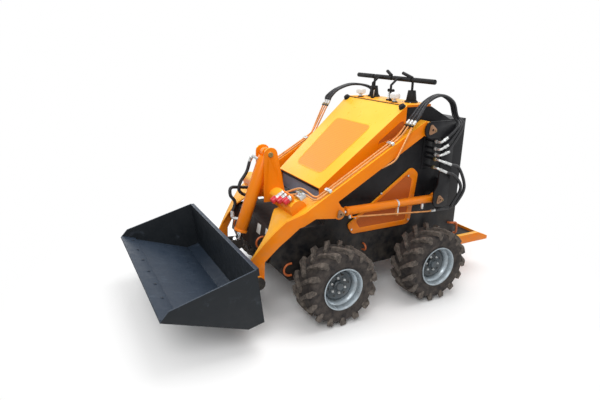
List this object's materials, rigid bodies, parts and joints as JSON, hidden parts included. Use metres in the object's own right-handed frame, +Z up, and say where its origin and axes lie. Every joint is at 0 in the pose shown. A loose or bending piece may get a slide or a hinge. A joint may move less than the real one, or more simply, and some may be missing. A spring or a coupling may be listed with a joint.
{
  "type": "skid steer loader",
  "caption": "Compact stand-on wheeled loader with lift arms, tilting bucket, hinged hood and rear platform.",
  "frame": {"origin": "on the ground under the middle of the machine's box, tools included", "axes": "+X to the machine's left, -Y to its front where the bucket is, +Z up"},
  "size_m": [1.274, 2.652, 1.5211],
  "materials": {
    "frame_paint": "semi-gloss",
    "engine_steel": "matte",
    "axle_steel": "satin",
    "cover_paint": "satin",
    "tower_paint": "semi-gloss",
    "platform_paint": "satin",
    "console_plate": "satin",
    "handle_black": "matte",
    "cap_zinc": "polished",
    "tyre_rubber": "dusty matte",
    "rim_steel": "satin",
    "hood_paint": "gloss",
    "arm_paint": "gloss",
    "cross_paint": "gloss",
    "pipe_bronze": "satin",
    "barrel_paint": "gloss",
    "rod_chrome": "polished",
    "bucket_paint": "satin",
    "edge_steel": "satin",
    "attach_paint": "semi-gloss",
    "ring_steel": "semi-gloss",
    "hose_rubber": "satin"
  },
  "bodies": {
    "chassis": {"frame": "frame_paint", "engine_block": "engine_steel", "axle_front": "axle_steel", "axle_rear": "axle_steel", "side_cover_left": "cover_paint", "side_cover_right": "cover_paint", "tower_left": "tower_paint", "tower_right": "tower_paint", "platform": "platform_paint", "console": "console_plate", "handle_left": "handle_black", "handle_right": "handle_black", "cap_left": "cap_zinc", "cap_right": "cap_zinc", "tie_ring_left": "ring_steel", "tie_ring_right": "ring_steel", "hoses_left": "hose_rubber", "hoses_right": "hose_rubber"},
    "wheel_front_left": {"tyre_front_left": "tyre_rubber", "rim_front_left": "rim_steel"},
    "wheel_front_right": {"tyre_front_right": "tyre_rubber", "rim_front_right": "rim_steel"},
    "wheel_rear_left": {"tyre_rear_left": "tyre_rubber", "rim_rear_left": "rim_steel"},
    "wheel_rear_right": {"tyre_rear_right": "tyre_rubber", "rim_rear_right": "rim_steel"},
    "hood": {"hood": "hood_paint"},
    "arms": {"arm_left": "arm_paint", "arm_right": "arm_paint", "cross_member": "cross_paint", "arm_pipes_left": "pipe_bronze", "arm_pipes_right": "pipe_bronze"},
    "bucket": {"bucket": "bucket_paint", "cutting_edge": "edge_steel", "attach_plate": "attach_paint"},
    "lift_barrel_left": {"lift_left_barrel": "barrel_paint"},
    "lift_barrel_right": {"lift_right_barrel": "barrel_paint"},
    "lift_rod_left": {"lift_left_rod": "rod_chrome"},
    "lift_rod_right": {"lift_right_rod": "rod_chrome"},
    "tilt_barrel": {"tilt_barrel": "barrel_paint"},
    "tilt_rod": {"tilt_rod": "rod_chrome"}
  },
  "joints": [
    {"name": "arm_lift", "type": "hinge", "parent": "chassis", "child": "arms", "pos_m": [0, 0.508, 1.166], "axis": [-1, 0, 0], "range_deg": [0, 60], "deforming": ["hoses_left", "hoses_right"]},
    {"name": "bucket_tilt", "type": "hinge", "parent": "arms", "child": "bucket", "pos_m": [0, -0.669, 0.272], "axis": [1, 0, 0], "range_deg": [0, 90]},
    {"name": "hood_open", "type": "hinge", "parent": "chassis", "child": "hood", "pos_m": [0, -0.223, 0.682], "axis": [1, 0, 0], "range_deg": [0, 45]},
    {"name": "lift_barrel_left_turn", "type": "hinge", "parent": "chassis", "child": "lift_barrel_left", "pos_m": [0.42, 0.636, 0.677], "axis": [-1, 0, 0], "range_deg": [0, 43.32]},
    {"name": "lift_rod_left_slide", "type": "slide", "parent": "lift_barrel_left", "child": "lift_rod_left", "axis": [0, -1, 0.0063], "range_m": [0, 0.4133]},
    {"name": "lift_barrel_right_turn", "type": "hinge", "parent": "chassis", "child": "lift_barrel_right", "pos_m": [-0.42, 0.636, 0.677], "axis": [-1, 0, 0], "range_deg": [0, 43.32]},
    {"name": "lift_rod_right_slide", "type": "slide", "parent": "lift_barrel_right", "child": "lift_rod_right", "axis": [0, -1, 0.0063], "range_m": [0, 0.4133]},
    {"name": "tilt_barrel_turn", "type": "hinge", "parent": "arms", "child": "tilt_barrel", "pos_m": [0, -0.463, 1.005], "axis": [-1, 0, 0], "range_deg": [0, 5.98]},
    {"name": "tilt_rod_slide", "type": "slide", "parent": "tilt_barrel", "child": "tilt_rod", "axis": [0, -0.3376, -0.9413], "range_m": [0, 0.191]},
    {"name": "wheel_front_left_spin", "type": "hinge", "parent": "chassis", "child": "wheel_front_left", "pos_m": [0.5175, -0.219, 0.254], "axis": [1, 0, 0], "continuous": true},
    {"name": "wheel_front_right_spin", "type": "hinge", "parent": "chassis", "child": "wheel_front_right", "pos_m": [-0.5175, -0.219, 0.254], "axis": [1, 0, 0], "continuous": true},
    {"name": "wheel_rear_left_spin", "type": "hinge", "parent": "chassis", "child": "wheel_rear_left", "pos_m": [0.5175, 0.542, 0.254], "axis": [1, 0, 0], "continuous": true},
    {"name": "wheel_rear_right_spin", "type": "hinge", "parent": "chassis", "child": "wheel_rear_right", "pos_m": [-0.5175, 0.542, 0.254], "axis": [1, 0, 0], "continuous": true}
  ],
  "couplings": [
    {"joint": "lift_barrel_left_turn", "follows": "arm_lift", "ratio": 0.71358},
    {"joint": "lift_rod_left_slide", "follows": "arm_lift", "m_per_rad": 0.39275},
    {"joint": "lift_barrel_right_turn", "follows": "arm_lift", "ratio": 0.71358},
    {"joint": "lift_rod_right_slide", "follows": "arm_lift", "m_per_rad": 0.39275},
    {"joint": "tilt_barrel_turn", "follows": "bucket_tilt", "ratio": 0.06092},
    {"joint": "tilt_rod_slide", "follows": "bucket_tilt", "m_per_rad": 0.1203}
  ]
}
